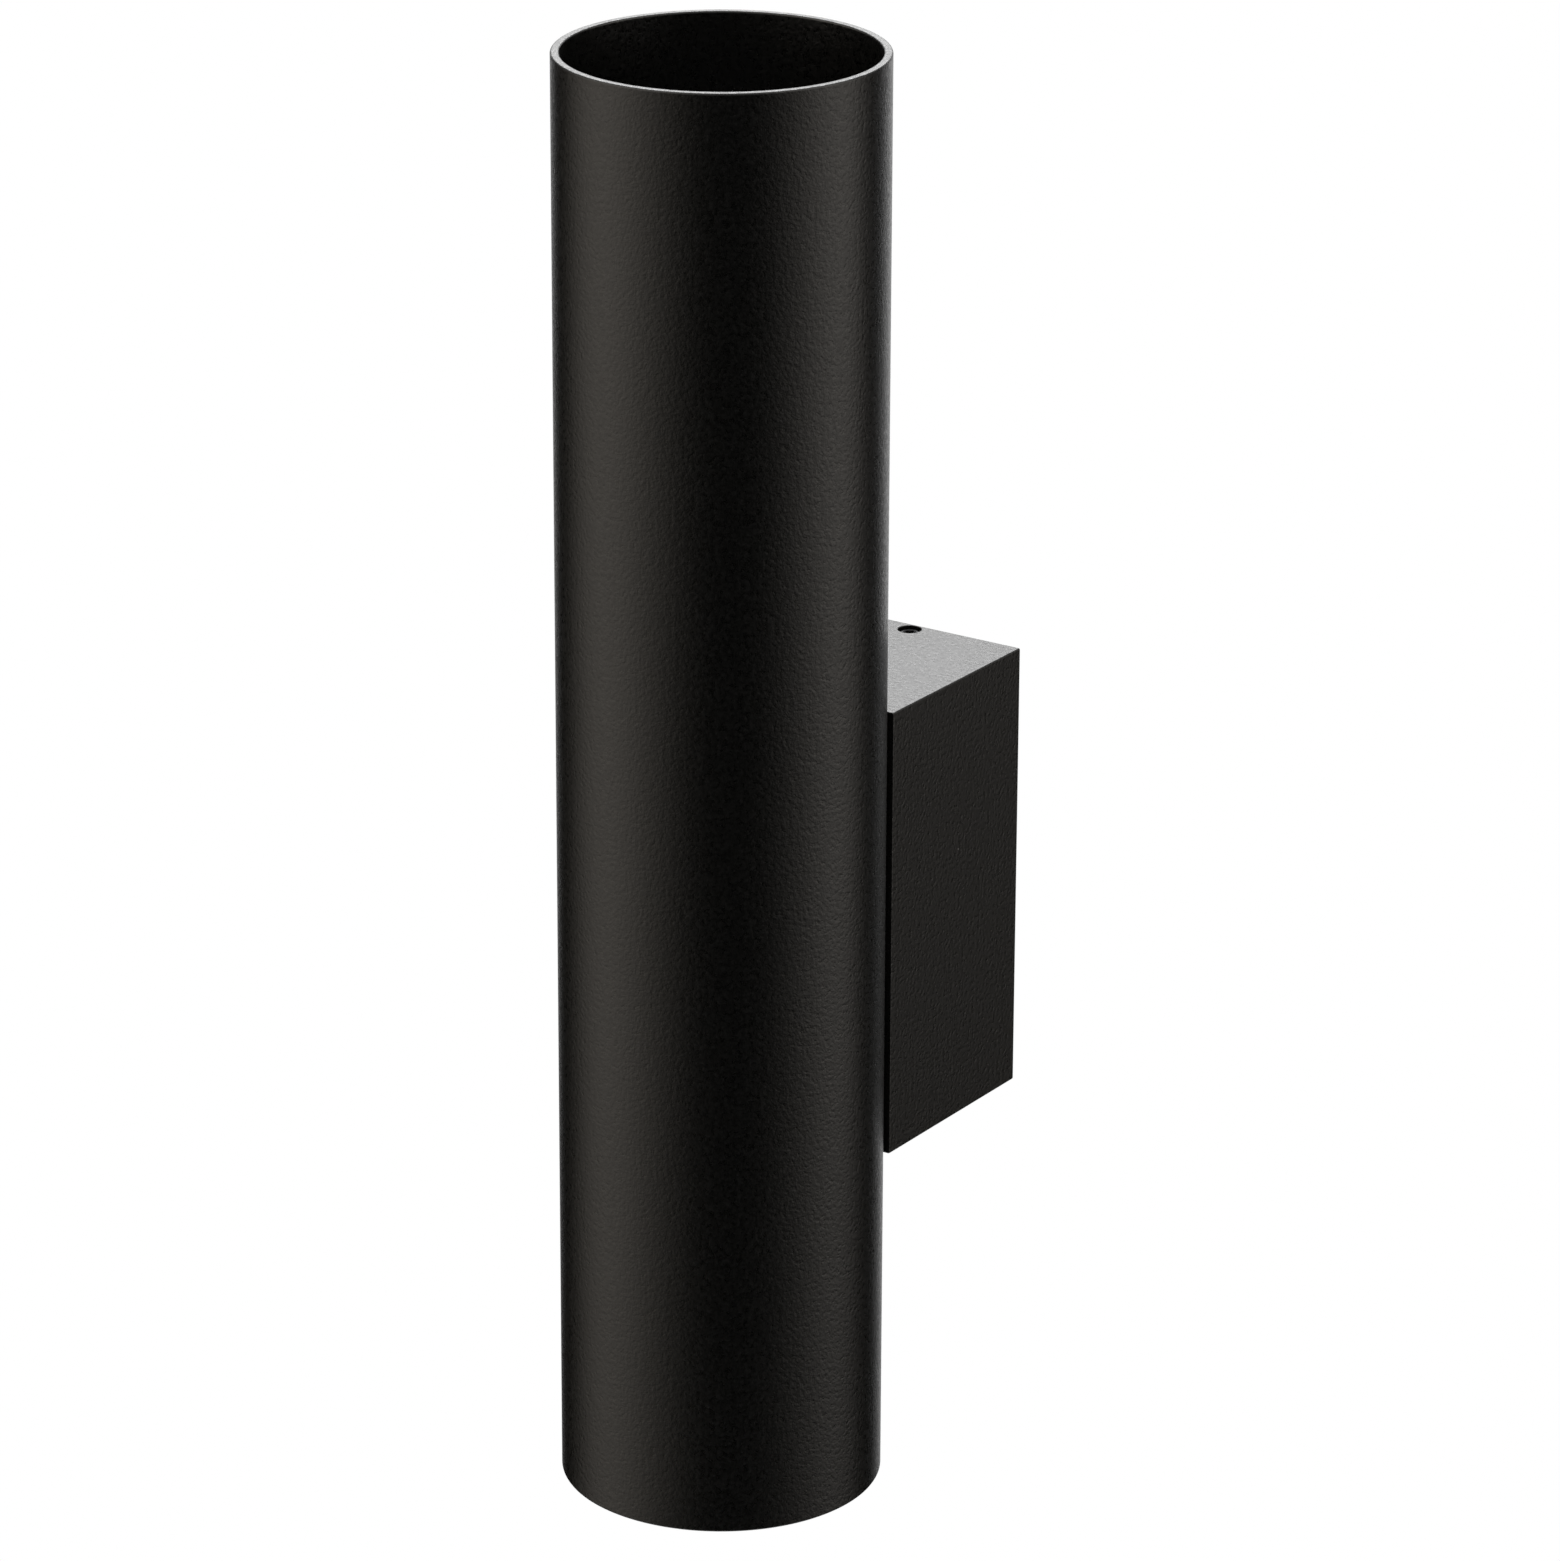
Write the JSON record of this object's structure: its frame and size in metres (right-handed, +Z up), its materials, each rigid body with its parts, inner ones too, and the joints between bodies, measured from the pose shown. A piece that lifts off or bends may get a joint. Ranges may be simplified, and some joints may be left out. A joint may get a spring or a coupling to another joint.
{
  "type": "tube wall light",
  "caption": "Upright round tube, open at both ends, on a slim wall box; lamps shine up and down.",
  "frame": {"origin": "on the wall plane, midway between the two wall screw holes of the mounting plate", "axes": "+Z up along the tube, -Y out into the room, +X to the right seen from the room"},
  "size_m": [0.055, 0.0875, 0.25],
  "materials": {
    "black_powder_coat": "matt black powder coat with a fine orange-peel texture on steel",
    "zinc_plate": "bright zinc-plated sheet steel",
    "zinc_fastener": "zinc-plated turned steel",
    "black_oxide_steel": "black-oxide steel, slightly oily",
    "nickel_brass": "nickel-plated brass, satin",
    "bare_brass": "drawn brass, lightly tarnished",
    "white_nylon": "moulded natural polyamide",
    "black_rubber": "moulded synthetic rubber, matt",
    "steatite": "unglazed pressed steatite",
    "lamp_shell": "satin white moulded plastic",
    "lamp_lens": "frosted polycarbonate",
    "lamp_board": "white solder mask with yellow light chips",
    "brown_sleeving": "silicone lead sleeving, brown",
    "blue_sleeving": "silicone lead sleeving, blue",
    "green_yellow_sleeving": "silicone lead sleeving, green with a yellow stripe"
  },
  "bodies": {
    "wall_side": {"mounting_plate": "zinc_plate", "cable_bush": "black_rubber", "terminal_block": "white_nylon", "terminal_clamps": "bare_brass", "terminal_screws": "nickel_brass", "terminal_fixing_screws": "zinc_fastener", "lead_ferrules": "nickel_brass", "plate_earth_screw": "bare_brass", "plate_earth_tag": "nickel_brass", "plate_earth_lead": "green_yellow_sleeving"},
    "fixture": {"wall_box": "black_powder_coat", "tube": "black_powder_coat", "hollow_nipple": "zinc_fastener", "nipple_nuts": "zinc_fastener", "toothed_washers": "zinc_fastener", "nipple_earth_tag": "nickel_brass", "lead_bushes": "white_nylon", "lampholder_bracket": "zinc_plate", "upper_lampholder": "steatite", "lower_lampholder": "steatite", "upper_contacts": "nickel_brass", "lower_contacts": "nickel_brass", "upper_holder_screws": "zinc_fastener", "lower_holder_screws": "zinc_fastener", "holder_nuts": "zinc_fastener", "upper_live_lead": "brown_sleeving", "upper_neutral_lead": "blue_sleeving", "lower_live_lead": "brown_sleeving", "lower_neutral_lead": "blue_sleeving", "fixture_earth_lead": "green_yellow_sleeving"},
    "upper_lock": {"upper_lock_screw": "black_oxide_steel"},
    "lower_lock": {"lower_lock_screw": "black_oxide_steel"},
    "upper_lamp": {"upper_lamp_body": "lamp_shell", "upper_lamp_board": "lamp_board", "upper_lamp_lens": "lamp_lens", "upper_lamp_pins": "nickel_brass"},
    "lower_lamp": {"lower_lamp_body": "lamp_shell", "lower_lamp_board": "lamp_board", "lower_lamp_lens": "lamp_lens", "lower_lamp_pins": "nickel_brass"}
  },
  "joints": [
    {"name": "box_draw_off", "type": "slide", "parent": "wall_side", "child": "fixture", "axis": [0, -1, 0], "range_m": [0, 0.01], "deforming": ["upper_live_lead", "upper_neutral_lead", "lower_live_lead", "lower_neutral_lead", "fixture_earth_lead"]},
    {"name": "upper_lock_back_out", "type": "slide", "parent": "fixture", "child": "upper_lock", "axis": [0, 0, 1], "range_m": [0, 0.0015]},
    {"name": "lower_lock_back_out", "type": "slide", "parent": "fixture", "child": "lower_lock", "axis": [0, 0, -1], "range_m": [0, 0.0015]},
    {"name": "upper_lamp_turn", "type": "hinge", "parent": "fixture", "child": "upper_lamp", "pos_m": [0, -0.06, 0.0679], "axis": [0, 0, 1], "range_deg": [0, 30]},
    {"name": "lower_lamp_turn", "type": "hinge", "parent": "fixture", "child": "lower_lamp", "pos_m": [0, -0.06, -0.0091], "axis": [0, 0, -1], "range_deg": [0, 30]}
  ]
}
